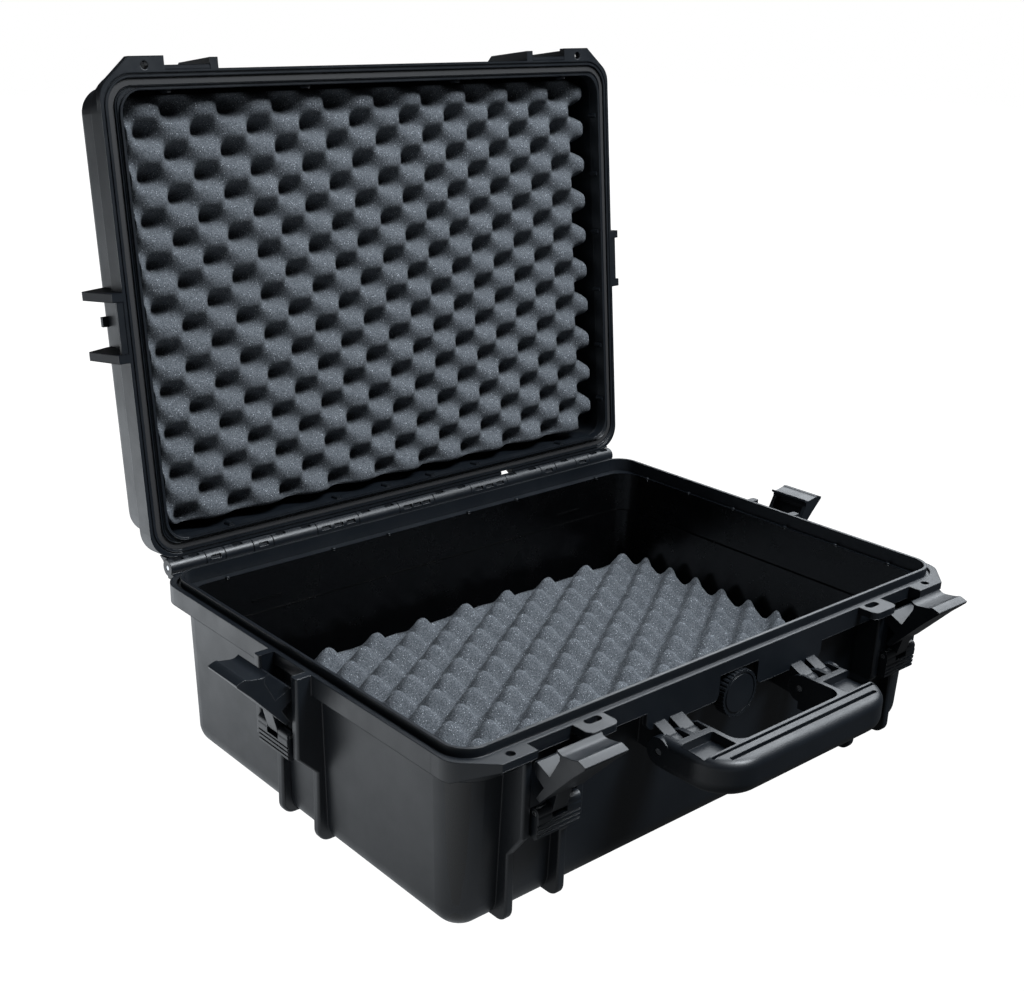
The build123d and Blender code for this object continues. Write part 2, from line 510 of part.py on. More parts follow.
# ---- lid shell (drawn closed, standing open) -----------------------------
with BuildPart() as lid_shell:
    with BuildSketch(lid_level(MATE)) as lid_wall:
        RectangleRounded(2 * LID_X, 2 * LID_Y, LID_CORNER + 5)
    extrude(amount=LID_TOP - MATE, taper=LID_TAPER)
    lid_up = Axis((0, 0, 0), lid_level(0).z_dir)
    fillet(faces().sort_by(lid_up)[-1].edges(), radius=LID_TOP_RADIUS)
    # rim plate with the padlock tabs
    with BuildSketch(lid_level(MATE)) as lid_rim:
        Rectangle(2 * LID_RIM_X, 2 * RIM_Y)
        fillet(lid_rim.vertices().group_by(Axis.Y)[0], radius=RIM_FRONT_CORNER)
        fillet(lid_rim.vertices().group_by(Axis.Y)[-1], radius=RIM_CORNER)
        with BuildLine():
            Polyline(
                (LID_RIM_X, -TAB_START),
                (LID_RIM_X, -TAB_ROOT),
                (TAB_EDGE, -TAB_Y + TAB_PLAY),
                (TAB_INNER, -TAB_Y + TAB_PLAY),
                (TAB_INNER, -TAB_START),
                close=True,
            )
        lid_tab = make_face()
        slant_start = lid_tab.vertices().sort_by(Axis.X)[-2:].sort_by(Axis.Y)[0]
        fillet(slant_start, radius=TAB_CORNER)
        mirror(about=Plane.YZ)
    extrude(amount=LID_PLATE)
    # skirt above the plate, open at the latches
    with BuildSketch(lid_level(MATE + LID_PLATE)) as lid_skirt:
        Rectangle(2 * LID_RIM_X, 2 * RIM_Y)
        fillet(lid_skirt.vertices().group_by(Axis.Y)[0], radius=RIM_FRONT_CORNER)
        fillet(lid_skirt.vertices().group_by(Axis.Y)[-1], radius=RIM_CORNER)
        offset(amount=-SKIRT, mode=Mode.SUBTRACT)
        with Locations((-FRONT_CHANNEL_X, -RIM_Y), (FRONT_CHANNEL_X, -RIM_Y)):
            Rectangle(CHANNEL + 2, 20, mode=Mode.SUBTRACT)
        with Locations((-LID_RIM_X, 0), (LID_RIM_X, 0)):
            Rectangle(20, CHANNEL + 2, mode=Mode.SUBTRACT)
    extrude(amount=LID_SKIRT_TOP - MATE - LID_PLATE)
    # fins beside the latches
    for name, plane, shift in LATCHES:
        on_front = name.startswith("front")
        for step in (-RIB_STEP, RIB_STEP):
            with BuildSketch(Plane(OPENED * plane.offset(step).location)) as fin:
                with BuildLine():
                    Polyline((FIN_INNER, MATE), *(FRONT_FIN if on_front else SIDE_FIN), close=True)
                make_face()
            extrude(amount=RIB / 2, both=True)
    # ridges that the latch claws pull on, and the small stops above them
    for name, plane, shift in LATCHES:
        with BuildSketch(Plane(OPENED * plane.location)) as stop:
            with BuildLine():
                Polyline(
                    (STOP_IN, STOP_HEIGHTS[0]),
                    (STOP_OUT + shift / 2, STOP_HEIGHTS[1]),
                    (STOP_OUT + shift / 2, STOP_HEIGHTS[2]),
                    (STOP_IN, STOP_HEIGHTS[3]),
                    close=True,
                )
            make_face()
        extrude(amount=4, both=True)
        with BuildSketch(Plane(OPENED * plane.location)) as ridge:
            with BuildLine():
                Polyline(
                    (RIDGE_IN, RIDGE_BOTTOM),
                    (RIDGE_OUT + shift, RIDGE_BOTTOM),
                    (RIDGE_OUT + shift, RIDGE_TOP),
                    (RIDGE_IN, RIDGE_TOP),
                    close=True,
                )
            make_face()
        extrude(amount=CHANNEL / 2, both=True)
    # hollow
    with BuildSketch(lid_level(MATE)) as lip_inside:
        RectangleRounded(2 * LID_IN_X, 2 * LID_IN_Y, LID_CORNER)
    extrude(amount=INNER_LIP_HEIGHT, mode=Mode.SUBTRACT)
    with BuildSketch(lid_level(MATE + INNER_LIP_HEIGHT)) as lid_inside:
        RectangleRounded(
            2 * (LID_IN_X + INNER_LIP_REACH), 2 * (LID_IN_Y + INNER_LIP_REACH), LID_CORNER + INNER_LIP_REACH
        )
    extrude(amount=LID_TOP - WALL - MATE - INNER_LIP_HEIGHT, taper=LID_TAPER, mode=Mode.SUBTRACT)
    # lip inside the tongue
    with BuildSketch(lid_level(MATE - LIP_DEPTH)) as lip:
        RectangleRounded(2 * (LID_IN_X + 2), 2 * (LID_IN_Y + 2), LID_CORNER + 2)
        RectangleRounded(2 * LID_IN_X, 2 * LID_IN_Y, LID_CORNER, mode=Mode.SUBTRACT)
    extrude(amount=LIP_DEPTH)
    # groove for the seal, and two shallow lines beside it
    for out, width, depth in RIM_LINES:
        with BuildSketch(lid_level(MATE)) as groove:
            RectangleRounded(2 * (GROOVE_X + out), 2 * (GROOVE_Y + out), GROOVE_CORNER + out)
            RectangleRounded(
                2 * (GROOVE_X + out - width), 2 * (GROOVE_Y + out - width), GROOVE_CORNER + out - width,
                mode=Mode.SUBTRACT,
            )
        extrude(amount=depth, mode=Mode.SUBTRACT)
    # studs along the inside of the rim
    with BuildSketch(lid_level(MATE + 0.5)) as studs:
        for x in STUDS_FRONT_X:
            with Locations((x, -LID_IN_Y)):
                Circle(STUD_R)
        for x in STUDS_BACK_X:
            with Locations((x, LID_IN_Y)):
                Circle(STUD_R)
        for y in STUDS_SIDE_Y:
            with Locations((-LID_IN_X, y), (LID_IN_X, y)):
                Circle(SIDE_STUD_R)
    extrude(amount=INNER_LIP_HEIGHT)
    # hood that follows the barrel over each knuckle of the base
    hood_radius = BARREL + HOOD_GAP
    for low, high in knuckles(on_lid=False):
        if low < HINGE_NOTCH[0] < high or low < HINGE_NOTCH[1] < high:
            low = HINGE_NOTCH[1]
        with BuildSketch(lid_upright(((low + high) / 2, 0, 0), (0, 1, 0), (1, 0, 0))) as hood:
            with BuildLine():
                ThreePointArc(
                    round_barrel(hood_radius, HOOD_ROOT),
                    round_barrel(hood_radius, (HOOD_ROOT + HOOD_TIP) / 2),
                    round_barrel(hood_radius, HOOD_TIP),
                )
                Polyline(
                    round_barrel(hood_radius, HOOD_TIP),
                    round_barrel(hood_radius + HOOD_WALL, HOOD_TIP + 4),
                    (RIM_Y - 1, LID_SKIRT_TOP - 6),
                    (RIM_Y - 1, MATE + 0.5),
                    round_barrel(hood_radius, HOOD_ROOT),
                )
            make_face()
        extrude(amount=(high - low) / 2 - 0.5, both=True)
    notch_middle = (HINGE_NOTCH[0] + HINGE_NOTCH[1]) / 2
    with BuildSketch(lid_level(MATE)) as notch:
        with Locations((notch_middle, RIM_Y)):
            Rectangle(HINGE_NOTCH[1] - HINGE_NOTCH[0], 2 * NOTCH_DEPTH)
    extrude(amount=LID_SKIRT_TOP - MATE, mode=Mode.SUBTRACT)
    # hinge knuckles
    for low, high in knuckles(on_lid=True):
        length = high - low - KNUCKLE_GAP
        with BuildSketch(lid_upright(((low + high) / 2, 0, 0), (0, 1, 0), (1, 0, 0))) as lid_knuckle:
            with Locations((HINGE_Y, HINGE_Z)):
                Circle(BARREL)
            with Locations(((RIM_Y - 2 + HINGE_Y) / 2, HINGE_Z + BARREL - 2.7)):
                Rectangle(HINGE_Y - RIM_Y + 2, 5)
        extrude(amount=length / 2, both=True)
        for end in (0,) if length < SHORT_KNUCKLE else (-1, 0, 1):
            middle = (low + high) / 2 + end * (length / 2 - KNUCKLE_POCKET_IN)
            with Locations(barrel_point(middle, LID_POCKET_ANGLE)):
                Box(KNUCKLE_POCKET, KNUCKLE_POCKET_WIDE, POCKET_DEPTH, mode=Mode.SUBTRACT)
    with BuildSketch(Plane.YZ.offset(-RIM_X)) as lid_bore:
        with Locations((HINGE_Y, HINGE_Z)):
            Circle(ROD_BORE)
    extrude(amount=2 * RIM_X, mode=Mode.SUBTRACT)
    # padlock holes
    with BuildSketch(lid_level(MATE - 1)) as lid_holes:
        with Locations((-HOLE_X, -HOLE_Y), (HOLE_X, -HOLE_Y)):
            Circle(HOLE_R)
    extrude(amount=LID_PLATE + 2, mode=Mode.SUBTRACT)
lid_shell.part.label = "lid_shell"
export_step(lid_shell.part, "parts/lid_shell.step")

with BuildPart() as lid_seal:
    seal_wall = 0.2
    with BuildSketch(lid_level(MATE + SEAL_STAND)) as seal_ring:
        RectangleRounded(2 * (GROOVE_X - seal_wall), 2 * (GROOVE_Y - seal_wall), GROOVE_CORNER - seal_wall)
        inner_edge = GROOVE_WIDTH - seal_wall
        RectangleRounded(
            2 * (GROOVE_X - inner_edge), 2 * (GROOVE_Y - inner_edge), GROOVE_CORNER - inner_edge,
            mode=Mode.SUBTRACT,
        )
    extrude(amount=GROOVE_DEPTH - SEAL_STAND)
lid_seal.part.label = "lid_seal"
export_step(lid_seal.part, "parts/lid_seal.step")

with BuildPart() as lid_foam:
    with BuildSketch(lid_level(LID_FOAM_FACE)) as lid_pad:
        with Locations((0, (LID_FOAM_FRONT + LID_FOAM_BACK) / 2)):
            RectangleRounded(2 * LID_FOAM_X, LID_FOAM_BACK - LID_FOAM_FRONT, LID_FOAM_CORNER)
    extrude(amount=LID_TOP - WALL - LID_FOAM_FACE)
lid_foam.part.label = "lid_foam"
export_step(lid_foam.part, "parts/lid_foam.step")

# ---- base foam and hinge rod --------------------------------------------
with BuildPart() as base_foam:
    with BuildSketch(Plane.XY.offset(WALL)) as base_pad:
        with Locations((0, (FOAM_FRONT + FOAM_BACK) / 2)):
            RectangleRounded(2 * FOAM_X, FOAM_BACK - FOAM_FRONT, FOAM_CORNER)
    extrude(amount=FOAM_TOP - WALL)
base_foam.part.label = "base_foam"
export_step(base_foam.part, "parts/base_foam.step")

with BuildPart() as hinge_rod:
    with BuildSketch(Plane.YZ.offset(-BREAKS[-1] + 0.5)) as rod:
        with Locations((HINGE_Y, HINGE_Z)):
            Circle(ROD)
    extrude(amount=2 * BREAKS[-1] - 1)
    chamfer(edges().filter_by(GeomType.CIRCLE), length=0.5)
hinge_rod.part.label = "hinge_rod"
export_step(hinge_rod.part, "parts/hinge_rod.step")

# ---- handle and its pins ------------------------------------------------
with BuildPart() as handle:
    with BuildSketch(Plane.XY.offset(HANDLE_BOTTOM)) as grip_outline:
        with Locations((0, (HANDLE_FRONT + HANDLE_PIVOT_Y) / 2)):
            Rectangle(2 * HANDLE_X, HANDLE_PIVOT_Y - HANDLE_FRONT)
        fillet(grip_outline.vertices().group_by(Axis.Y)[0], radius=GRIP_CORNER)
        with Locations((0, (GRIP_BACK + HANDLE_PIVOT_Y) / 2 + 5)):
            Rectangle(2 * ARM_INNER, HANDLE_PIVOT_Y - GRIP_BACK + 10, mode=Mode.SUBTRACT)
        inner_corners = grip_outline.vertices().filter_by_position(Axis.Y, GRIP_BACK - 1, GRIP_BACK + 1)
        fillet(inner_corners, radius=GRIP_INNER_CORNER)
    extrude(amount=HANDLE_TOP - HANDLE_BOTTOM)
    front_edges = edges().filter_by_position(Axis.Y, HANDLE_FRONT - 1, HANDLE_PIVOT_Y - 8)
    bottom_front = front_edges.group_by(Axis.Z)[0]
    top_front = front_edges.group_by(Axis.Z)[-1]
    outer_bottom = bottom_front.filter_by(lambda e: e.center().Y < GRIP_BACK - 6 or abs(e.center().X) > 90)
    outer_top = top_front.filter_by(lambda e: e.center().Y < GRIP_BACK - 6 or abs(e.center().X) > 90)
    fillet(outer_bottom, radius=GRIP_BOTTOM_ROUND)
    fillet(outer_top, radius=GRIP_TOP_ROUND)
    # knuckles round the pins, with room for the lugs between them
    for side in (-1, 1):
        with BuildSketch(Plane.YZ.offset(side * (HANDLE_X + ARM_INNER) / 2)) as arm_knuckle:
            with Locations((HANDLE_PIVOT_Y, HANDLE_PIVOT_Z)):
                Circle(HANDLE_TOP - HANDLE_PIVOT_Z - 1.0)
        extrude(amount=(HANDLE_X - ARM_INNER) / 2, both=True)
    for low, high in LUGS:
        for side in (-1, 1):
            with Locations((side * (low + high) / 2, HANDLE_PIVOT_Y, HANDLE_PIVOT_Z)):
                Box(high - low + 2 * LUG_PLAY, LUG_ROOM, 60, mode=Mode.SUBTRACT)
    with BuildSketch(Plane.YZ.offset(-110)) as handle_bore:
        with Locations((HANDLE_PIVOT_Y, HANDLE_PIVOT_Z)):
            Circle(HANDLE_BORE)
    extrude(amount=220, mode=Mode.SUBTRACT)
    # pockets on the arms and grooves along the grip
    with BuildSketch(Plane.XY.offset(HANDLE_TOP)) as pockets:
        for side in (-1, 1):
            with Locations((side * POCKET_X, POCKET_Y)):
                RectangleRounded(POCKET_LENGTH, POCKET_DEEP, POCKET_CORNER)
    extrude(amount=-HANDLE_POCKET, mode=Mode.SUBTRACT)
    with BuildSketch(Plane.XY.offset(HANDLE_TOP)) as grooves:
        for groove_y, groove_length, groove_width in GRIP_GROOVES:
            with Locations((0, groove_y)):
                SlotOverall(groove_length, groove_width)
    extrude(amount=-GRIP_GROOVE_DEPTH, mode=Mode.SUBTRACT)
handle.part.label = "handle"
export_step(handle.part, "parts/handle.step")

for side, name in ((-1, "handle_pin_left"), (1, "handle_pin_right")):
    with BuildPart() as handle_pin:
        with BuildSketch(Plane.YZ.offset(side * (HANDLE_X + ARM_INNER) / 2)) as pin_section:
            with Locations((HANDLE_PIVOT_Y, HANDLE_PIVOT_Z)):
                Circle(HANDLE_PIN)
        extrude(amount=(HANDLE_X - ARM_INNER) / 2 - 0.5, both=True)
    handle_pin.part.label = name
    export_step(handle_pin.part, f"parts/{name}.step")

# ---- pressure valve -----------------------------------------------------
with BuildPart() as valve_body:
    with BuildSketch(Plane.XZ.offset(VALVE_INSIDE)) as spigot:
        with Locations((0, KNOB_Z)):
            Circle(SPIGOT_R)
            Circle(VALVE_HOLE_R, mode=Mode.SUBTRACT)
    extrude(amount=-KNOB_FACE - 3 - VALVE_INSIDE)
    with BuildSketch(Plane.XZ.offset(BOSS_FACE + GASKET)) as flange:
        with Locations((0, KNOB_Z)):
            Circle(FLANGE_R)
            Circle(VALVE_HOLE_R, mode=Mode.SUBTRACT)
    extrude(amount=FLANGE_THICK)
valve_body.part.label = "valve_body"
export_step(valve_body.part, "parts/valve_body.step")

with BuildPart() as valve_gasket:
    with BuildSketch(Plane.XZ.offset(BOSS_FACE)) as gasket_ring:
        with Locations((0, KNOB_Z)):
            Circle(GASKET_R)
            Circle(SPIGOT_R + 0.1, mode=Mode.SUBTRACT)
    extrude(amount=GASKET)
valve_gasket.part.label = "valve_gasket"
export_step(valve_gasket.part, "parts/valve_gasket.step")

with BuildPart() as valve_membrane:
    with BuildSketch(Plane.XZ.offset(VALVE_INSIDE + MEMBRANE_IN)) as disc:
        with Locations((0, KNOB_Z)):
            Circle(VALVE_HOLE_R)
    extrude(amount=MEMBRANE_THICK)
valve_membrane.part.label = "valve_membrane"
export_step(valve_membrane.part, "parts/valve_membrane.step")

with BuildPart() as valve_nut:
    with BuildSketch(Plane.XZ.offset(VALVE_INSIDE + 1)) as nut_section:
        with Locations((0, KNOB_Z)):
            RegularPolygon(NUT_R, 6)
            Circle(SPIGOT_R + 0.05, mode=Mode.SUBTRACT)
    extrude(amount=NUT_HEIGHT)
valve_nut.part.label = "valve_nut"
export_step(valve_nut.part, "parts/valve_nut.step")

with BuildPart() as valve_knob:
    with BuildSketch(Plane.XZ.offset(-KNOB_BACK)) as knob_disc:
        with Locations((0, KNOB_Z)):
            Circle(KNOB_R)
            with PolarLocations(KNOB_R + 0.4, KNURLS):
                Circle(KNURL_R, mode=Mode.SUBTRACT)
    extrude(amount=KNOB_BACK - KNOB_FACE)
    with BuildSketch(Plane.XZ.offset(-KNOB_BACK)) as knob_bore:
        with Locations((0, KNOB_Z)):
            Circle(SPIGOT_R + 0.08)
    extrude(amount=KNOB_BACK - KNOB_FACE - 2.5, mode=Mode.SUBTRACT)
    with BuildSketch(Plane.XZ.offset(-KNOB_FACE)) as knob_face:
        with Locations((0, KNOB_Z)):
            Circle(KNOB_LINE[0])
            Circle(KNOB_LINE[1], mode=Mode.SUBTRACT)
    extrude(amount=-KNOB_LINE[2], mode=Mode.SUBTRACT)
valve_knob.part.label = "valve_knob"
export_step(valve_knob.part, "parts/valve_knob.step")

# ---- latches ------------------------------------------------------------
for place, plane, shift in LATCHES:
    lever_pivot = (LEVER_PIVOT[0] + shift, LEVER_PIVOT[1])
    claw_pivot = (CLAW_PIVOT[0] + shift, CLAW_PIVOT[1])

    with BuildPart() as latch_lever:
        with BuildSketch(plane) as lever_side:
            with Locations(claw_pivot):
                Circle(KNUCKLE_R)
            with Locations(lever_pivot):
                Circle(ARM_R)
            with BuildLine():
                Polyline(
                    (lever_pivot[0] - 1, lever_pivot[1] - ARM_R),
                    *shifted(LEVER_FRONT, shift),
                    *shifted(LEVER_BACK, shift),
                    close=True,
                )
            make_face()
        extrude(amount=LATCH_WIDTH / 2, both=True)
        # room for the arm of the claw
        with BuildSketch(plane) as arm_room:
            with Locations((claw_pivot[0] + 1, claw_pivot[1] + 1)):
                Rectangle(*ARM_ROOM)
        extrude(amount=ARM_WIDTH / 2 + 0.4, both=True, mode=Mode.SUBTRACT)
        # grip grooves across the face
        with BuildSketch(plane) as grip_grooves:
            face_low, face_high = LEVER_FRONT[1:3]
            lean = (face_high[0] - face_low[0]) / (face_high[1] - face_low[1])
            for height in GRIP_LINES:
                with Locations((shift + face_low[0] + (height - face_low[1]) * lean, height)):
                    Rectangle(GRIP_LINE_DEPTH, GRIP_LINE_HEIGHT)
        extrude(amount=LATCH_WIDTH / 2, both=True, mode=Mode.SUBTRACT)
        with BuildSketch(plane) as lever_bores:
            with Locations(lever_pivot):
                Circle(PIN_BORE)
            with Locations(claw_pivot):
                Circle(PIN)
        extrude(amount=LATCH_WIDTH / 2, both=True, mode=Mode.SUBTRACT)
    latch_lever.part.label = f"latch_lever_{place}"
    export_step(latch_lever.part, f"parts/latch_lever_{place}.step")

    open_plane = pivoted(plane, claw_pivot, -CLAW_OPEN)
    with BuildPart() as latch_claw:
        with BuildSketch(open_plane) as claw_side:
            with BuildLine():
                Spline(*shifted(SCOOP, shift), tangents=[(1, -0.2), (1, 0.05)])
                Polyline(
                    *shifted(CLAW_FRONT, shift),
                    *shifted(CLAW_HOOK, shift),
                    *shifted(CLAW_BACK, shift),
                )
            make_face()
        extrude(amount=LATCH_WIDTH / 2, both=True)
        # hollow between the two cheeks
        with BuildSketch(open_plane) as hollow:
            with BuildLine():
                Polyline(*shifted(CLAW_HOLLOW, shift), close=True)
            make_face()
        extrude(amount=LATCH_WIDTH / 2 - CHEEK, both=True, mode=Mode.SUBTRACT)
        # arm on the claw pin
        with BuildSketch(open_plane) as arm:
            with Locations(claw_pivot):
                Circle(ARM_R)
            with BuildLine():
                Polyline(
                    (claw_pivot[0] - ARM_R, claw_pivot[1]),
                    (claw_pivot[0] + ARM_R, claw_pivot[1]),
                    *shifted(ARM_TOP, shift),
                    close=True,
                )
            make_face()
        extrude(amount=ARM_WIDTH / 2, both=True)
        with BuildSketch(open_plane) as claw_bore:
            with Locations(claw_pivot):
                Circle(PIN_BORE)
        extrude(amount=ARM_WIDTH / 2, both=True, mode=Mode.SUBTRACT)
    latch_claw.part.label = f"latch_claw_{place}"
    export_step(latch_claw.part, f"parts/latch_claw_{place}.step")

    with BuildPart() as lever_pin:
        with BuildSketch(plane) as lever_pin_section:
            with Locations(lever_pivot):
                Circle(PIN)
        extrude(amount=CHANNEL / 2 + RIB - 1, both=True)
    lever_pin.part.label = f"lever_pin_{place}"
    export_step(lever_pin.part, f"parts/lever_pin_{place}.step")

    with BuildPart() as claw_pin:
        with BuildSketch(plane) as claw_pin_section:
            with Locations(claw_pivot):
                Circle(PIN)
        extrude(amount=LATCH_WIDTH / 2 - 0.5, both=True)
    claw_pin.part.label = f"claw_pin_{place}"
    export_step(claw_pin.part, f"parts/claw_pin_{place}.step")
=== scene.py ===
import json
import math

import bpy
from mathutils import Euler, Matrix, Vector, noise


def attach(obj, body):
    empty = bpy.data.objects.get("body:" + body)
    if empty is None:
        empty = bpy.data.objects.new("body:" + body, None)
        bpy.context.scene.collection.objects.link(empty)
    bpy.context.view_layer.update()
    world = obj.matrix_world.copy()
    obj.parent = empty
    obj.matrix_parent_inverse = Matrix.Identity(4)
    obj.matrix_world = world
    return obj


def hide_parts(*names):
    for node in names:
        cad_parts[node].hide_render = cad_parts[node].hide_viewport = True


# The looks of the hard equipment case, its two foam pads, the camera, the light and the floor.
# Every other piece is shown as the CAD model made it.

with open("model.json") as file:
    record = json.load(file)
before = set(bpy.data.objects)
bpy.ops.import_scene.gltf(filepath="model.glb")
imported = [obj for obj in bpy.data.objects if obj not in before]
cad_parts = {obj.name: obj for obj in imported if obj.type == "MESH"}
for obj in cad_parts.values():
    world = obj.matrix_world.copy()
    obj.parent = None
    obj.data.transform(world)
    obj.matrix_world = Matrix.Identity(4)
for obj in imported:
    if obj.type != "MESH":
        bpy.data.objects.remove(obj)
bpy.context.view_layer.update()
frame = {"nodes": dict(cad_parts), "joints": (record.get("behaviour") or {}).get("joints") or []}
nodes = frame["nodes"]

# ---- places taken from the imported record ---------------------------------
JOINTS = {joint["name"]: joint for joint in frame["joints"]}
HINGE = Vector(JOINTS["lid_hinge"]["pos_m"])
OPEN_ANGLE = math.radians(JOINTS["lid_hinge"]["range_deg"][1])
PLACES = ("front_left", "front_right", "side_left", "side_right")

# ---- plastic: colours are linear, noise scales are per metre -------------
PLASTIC_DARK = (0.0034, 0.0050, 0.0074)
PLASTIC_LIGHT = (0.0048, 0.0068, 0.0096)
CLOUD_SCALE = 14.0
CLOUD_SPREAD = (0.35, 0.65)
SMEAR_SCALE = 38.0
SMEAR_SPREAD = (0.3, 0.7)
GRAIN_SCALE = 1500.0
GRAIN_HEIGHT = 0.0003
PLASTIC_IOR = 1.49
# the tub's inside: a painted shade darkens its colour, and it is less rough
INSIDE_PAINTED_SHADE_COLOUR = (0.0006, 0.0007, 0.0009)
POLISHED_ROUGHNESS = (0.20, 0.30)

# ---- the middle of the tub's wall, in metres, and its taper in degrees ---
TUB_TAPER = 1.9
TUB_MIDDLE_X = 0.2474
TUB_MIDDLE_Y = 0.1689
TUB_FLOOR_MIDDLE = 0.002
TUB_ROUNDING = 0.014
UNDER_LEDGE = 0.1338

# ---- steel, rubber and cloth ---------------------------------------------
STEEL_DARK = (0.42, 0.43, 0.44)
STEEL_LIGHT = (0.62, 0.62, 0.63)
STEEL_LINES = 700.0
STEEL_ROUGHNESS = (0.22, 0.38)
RUBBER_DARK = (0.010, 0.010, 0.011)
RUBBER_LIGHT = (0.020, 0.020, 0.021)
RUBBER_SPECKS = 900.0
CLOTH_DARK = (0.55, 0.55, 0.54)
CLOTH_LIGHT = (0.8, 0.8, 0.79)
CLOTH_FIBRES = 2500.0

# ---- foam ----------------------------------------------------------------
FOAM_DARK = (0.112, 0.122, 0.134)
FOAM_LIGHT = (0.128, 0.139, 0.152)
FOAM_PORE = (0.040, 0.045, 0.052)
# painted glints: bright specks in the foam's colour that stand in for light caught by cell walls
FOAM_PAINTED_GLINT = (0.55, 0.58, 0.62)
FOAM_CLOUDS = 28.0
FOAM_PORES = 900.0
FOAM_CELLS = 820.0
PORE_SPREAD = (0.38, 0.62)
PORE_HEIGHT = 0.0012
GLINT_RADIUS = (0.16, 0.34)
GLINT_SHARE = (0.70, 1.0)
MESH_STEP = 0.0027
# the cut is a little uneven in height, and its waves wander a little along X and Y
UNEVEN_SCALE = 9
UNEVEN_HEIGHT = 0.0012
UNEVEN_LAYER = 3.1
WOBBLE_SCALE = 22
WOBBLE_SHIFT = 0.0012
WOBBLE_LAYERS = (7.7, 1.3)

# ---- camera, in metres, degrees and millimetres --------------------------
CAMERA_PLACE = (-0.7485, -0.7633, 0.5856)
CAMERA_TURN = (69.53, -0.856, -39.139)
CAMERA_LENS = 49.88
CAMERA_SENSOR = 36.0
CAMERA_SHIFT = (0.0631, 0.0226)
CAMERA_CLIP = (0.01, 50.0)

# ---- light and floor -----------------------------------------------------
COOL = (0.90, 0.95, 1.0)
# name, place, aim, size in metres, power in watts
SOFTBOXES = (
    ("key_softbox", (0.55, -1.15, 2.2), (0.0, 0.0, 0.25), (0.9, 0.9), 112.0),
    ("right_softbox", (1.6, 0.5, 1.6), (0.0, 0.0, 0.15), (1.9, 1.6), 52.0),
    ("left_softbox", (-2.3, -0.1, 1.0), (-0.2, 0.0, 0.1), (1.6, 1.2), 5.0),
)
STUDIO_COLOUR = (0.92, 0.95, 1.0)
STUDIO_STRENGTH = 0.04
WHITE = (1.0, 1.0, 1.0)
FLOOR_SIZE = 14.0
PAPER_DARK = (0.15, 0.155, 0.16)
PAPER_LIGHT = (0.17, 0.175, 0.18)
PAPER_FIBRES = 60.0
PAPER_GLOW = 1.12
# the white share of the floor grows from the case outwards
WHITE_DISTANCE = (0.35, 0.9)
WHITE_SHARE = (0.97, 1.0)
# the sheet that the plastic mirrors: where it starts and ends along X and Y, and how bright it is
SHEET_RIGHT = (-0.10, -0.40)
SHEET_LEFT = (-0.85, -0.52)
SHEET_LEFT_SHARE = (0.22, 1.0)
SHEET_FRONT = (-0.40, 0.45)
SHEET_FRONT_SHARE = (0.24, 1.0)
SHEET_STRENGTH = (0.07, 2.2)


# ---- node helpers --------------------------------------------------------
def new_material(name):
    """A node material with its tree, its Principled shader and the object coordinates in metres."""
    material = bpy.data.materials.new(name)
    material.use_nodes = True
    tree = material.node_tree
    shader = tree.nodes["Principled BSDF"]
    coordinates = tree.nodes.new("ShaderNodeTexCoord").outputs["Object"]
    return material, tree, shader, coordinates


def noise_node(tree, coordinates, scale, detail=2.0, roughness=0.5):
    node = tree.nodes.new("ShaderNodeTexNoise")
    node.inputs["Scale"].default_value = scale
    node.inputs["Detail"].default_value = detail
    node.inputs["Roughness"].default_value = roughness
    tree.links.new(coordinates, node.inputs["Vector"])
    return node.outputs["Fac"]


def remap(tree, value, source, target=(0.0, 1.0)):
    """Carry a value from the source range to the target range, held at its ends."""
    node = tree.nodes.new("ShaderNodeMapRange")
    node.inputs["From Min"].default_value, node.inputs["From Max"].default_value = source
    node.inputs["To Min"].default_value, node.inputs["To Max"].default_value = target
    tree.links.new(value, node.inputs["Value"])
    return node.outputs["Result"]


def math_node(tree, operation, first, second=None):
    """The result of an operation on one or two values, each a number or the output of a node."""
    node = tree.nodes.new("ShaderNodeMath")
    node.operation = operation
    for index, value in enumerate((first, second)):
        if value is None:
            continue
        if isinstance(value, (int, float)):
            node.inputs[index].default_value = value
        else:
            tree.links.new(value, node.inputs[index])
    return node.outputs["Value"]


def mix_colours(tree, factor, low, high):
    """Mix two colours, each a fixed one or the output of a node."""
    node = tree.nodes.new("ShaderNodeMix")
    node.data_type = "RGBA"
    tree.links.new(factor, node.inputs["Factor"])
    for name, colour in (("A", low), ("B", high)):
        socket = [i for i in node.inputs if i.name == name and i.type == "RGBA"][0]
        if isinstance(colour, tuple):
            socket.default_value = (*colour, 1.0)
        else:
            tree.links.new(colour, socket)
    return [o for o in node.outputs if o.type == "RGBA"][0]


def mix_values(tree, factor, low, high):
    node = tree.nodes.new("ShaderNodeMix")
    tree.links.new(factor, node.inputs["Factor"])
    tree.links.new(low, node.inputs["A"])
    tree.links.new(high, node.inputs["B"])
    return node.outputs["Result"]


def mix_shaders(tree, factor, low, high):
    node = tree.nodes.new("ShaderNodeMixShader")
    for socket, output in zip(node.inputs, (factor, low, high)):
        tree.links.new(output, socket)
    return node.outputs["Shader"]


def split(tree, coordinates):
    """The X, Y and Z outputs of the coordinates."""
    node = tree.nodes.new("ShaderNodeSeparateXYZ")
    tree.links.new(coordinates, node.inputs["Vector"])
    return node.outputs


def bump(tree, height, strength, distance, normal=None):
    node = tree.nodes.new("ShaderNodeBump")
    node.inputs["Strength"].default_value = strength
    node.inputs["Distance"].default_value = distance
    tree.links.new(height, node.inputs["Height"])
    if normal is not None:
        tree.links.new(normal, node.inputs["Normal"])
    return node.outputs["Normal"]


def rounded_edges(tree, radius):
    """Normals that round the mesh's sharp edges by the radius."""
    node = tree.nodes.new("ShaderNodeBevel")
    node.samples = 4
    node.inputs["Radius"].default_value = radius
    return node.outputs["Normal"]


